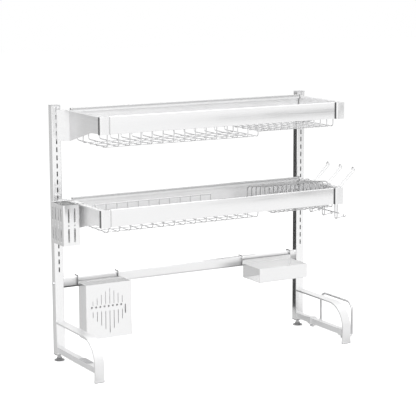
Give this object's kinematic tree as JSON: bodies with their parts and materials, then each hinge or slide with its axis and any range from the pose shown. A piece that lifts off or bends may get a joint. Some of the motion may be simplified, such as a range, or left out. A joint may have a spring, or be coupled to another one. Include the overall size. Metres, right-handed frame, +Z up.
{
  "type": "over_sink_dish_rack",
  "caption": "Two-tier over-sink dish rack in stainless steel, with hung shelves, wire baskets, a cutlery cage, cup hooks, a knife box and a sponge caddy",
  "frame": {"origin": "on the floor, under the middle of the whole rack's bounding box", "axes": "+X along the rack to the right, +Y to the back where the columns stand, +Z up"},
  "size_m": [0.99, 0.316, 0.82],
  "materials": {
    "brushed_steel": "fine brushed stainless steel sheet and tube",
    "polished_wire": "polished stainless steel wire and rod",
    "dark_plastic": "moulded dark grey plastic",
    "pale_plastic": "moulded pale grey plastic",
    "black_rubber": "moulded black rubber"
  },
  "bodies": {
    "frame": {"left_column": "brushed_steel", "right_column": "brushed_steel", "left_column_cap": "pale_plastic", "right_column_cap": "pale_plastic", "left_foot_arch": "brushed_steel", "right_foot_arch": "brushed_steel", "left_leg_pad": "pale_plastic", "right_leg_pad": "pale_plastic", "left_foot_rail": "brushed_steel", "right_foot_rail": "brushed_steel", "left_foot_plug": "dark_plastic", "right_foot_plug": "dark_plastic", "lower_bar": "brushed_steel", "bar_plugs": "dark_plastic", "bar_bolts": "polished_wire", "sink_edge_stop": "black_rubber", "towel_hoop": "polished_wire", "hoop_clamps": "brushed_steel", "clamp_screws": "polished_wire"},
    "left_levelling_foot": {"left_foot_base": "dark_plastic", "left_foot_stem": "polished_wire"},
    "right_levelling_foot": {"right_foot_base": "dark_plastic", "right_foot_stem": "polished_wire"},
    "top_shelf": {"top_shelf_left_bracket": "brushed_steel", "top_shelf_right_bracket": "brushed_steel", "top_shelf_corner_caps": "brushed_steel", "top_shelf_front_panel": "brushed_steel", "top_shelf_back_panel": "brushed_steel", "top_shelf_rivets": "polished_wire"},
    "middle_shelf": {"middle_shelf_left_bracket": "brushed_steel", "middle_shelf_right_bracket": "brushed_steel", "middle_shelf_corner_caps": "brushed_steel", "middle_shelf_front_panel": "brushed_steel", "middle_shelf_back_panel": "brushed_steel", "middle_shelf_rivets": "polished_wire"},
    "top_left_basket": {"top_left_basket_walls": "polished_wire", "top_left_basket_floor": "polished_wire", "top_left_basket_ends": "polished_wire"},
    "top_right_basket": {"top_right_basket_walls": "polished_wire", "top_right_basket_floor": "polished_wire", "top_right_basket_ends": "polished_wire"},
    "bowl_rack": {"bowl_rack_walls": "polished_wire", "bowl_rack_floor": "polished_wire", "bowl_rack_ends": "polished_wire", "bowl_rack_fence": "polished_wire"},
    "plate_rack": {"plate_rack_walls": "polished_wire", "plate_rack_floor": "polished_wire", "plate_rack_ends": "polished_wire", "plate_rack_dividers": "polished_wire"},
    "cutlery_cage": {"cutlery_cage": "brushed_steel", "cutlery_cage_hooks": "brushed_steel"},
    "cup_hook_rack": {"cup_hooks": "polished_wire", "cup_hook_pegs": "polished_wire", "cup_hook_rails": "polished_wire", "cup_hook_hangers": "polished_wire"},
    "knife_box": {"knife_box": "brushed_steel", "knife_box_hooks": "brushed_steel", "knife_box_tray": "dark_plastic"},
    "sponge_caddy": {"sponge_caddy": "brushed_steel", "sponge_caddy_hooks": "brushed_steel"}
  },
  "joints": [
    {"name": "left_foot_screw", "type": "slide", "parent": "frame", "child": "left_levelling_foot", "axis": [0, 0, 1], "range_m": [-0.01, 0.005]},
    {"name": "right_foot_screw", "type": "slide", "parent": "frame", "child": "right_levelling_foot", "axis": [0, 0, 1], "range_m": [-0.01, 0.005]},
    {"name": "top_shelf_lift", "type": "slide", "parent": "frame", "child": "top_shelf", "axis": [0, 0, 1], "range_m": [0, 0.006]},
    {"name": "middle_shelf_lift", "type": "slide", "parent": "frame", "child": "middle_shelf", "axis": [0, 0, 1], "range_m": [0, 0.006]},
    {"name": "top_left_basket_lift", "type": "slide", "parent": "top_shelf", "child": "top_left_basket", "axis": [0, 0, 1], "range_m": [0, 0.1]},
    {"name": "top_right_basket_lift", "type": "slide", "parent": "top_shelf", "child": "top_right_basket", "axis": [0, 0, 1], "range_m": [0, 0.1]},
    {"name": "bowl_rack_lift", "type": "slide", "parent": "middle_shelf", "child": "bowl_rack", "axis": [0, 0, 1], "range_m": [0, 0.1]},
    {"name": "plate_rack_lift", "type": "slide", "parent": "middle_shelf", "child": "plate_rack", "axis": [0, 0, 1], "range_m": [0, 0.1]},
    {"name": "cutlery_cage_lift", "type": "slide", "parent": "middle_shelf", "child": "cutlery_cage", "axis": [0, 0, 1], "range_m": [0, 0.1]},
    {"name": "cup_hook_rack_lift", "type": "slide", "parent": "middle_shelf", "child": "cup_hook_rack", "axis": [0, 0, 1], "range_m": [0, 0.009]},
    {"name": "knife_box_slide", "type": "slide", "parent": "frame", "child": "knife_box", "axis": [1, 0, 0], "range_m": [-0.035, 0.2]},
    {"name": "sponge_caddy_slide", "type": "slide", "parent": "frame", "child": "sponge_caddy", "axis": [1, 0, 0], "range_m": [-0.2, 0.02]}
  ]
}
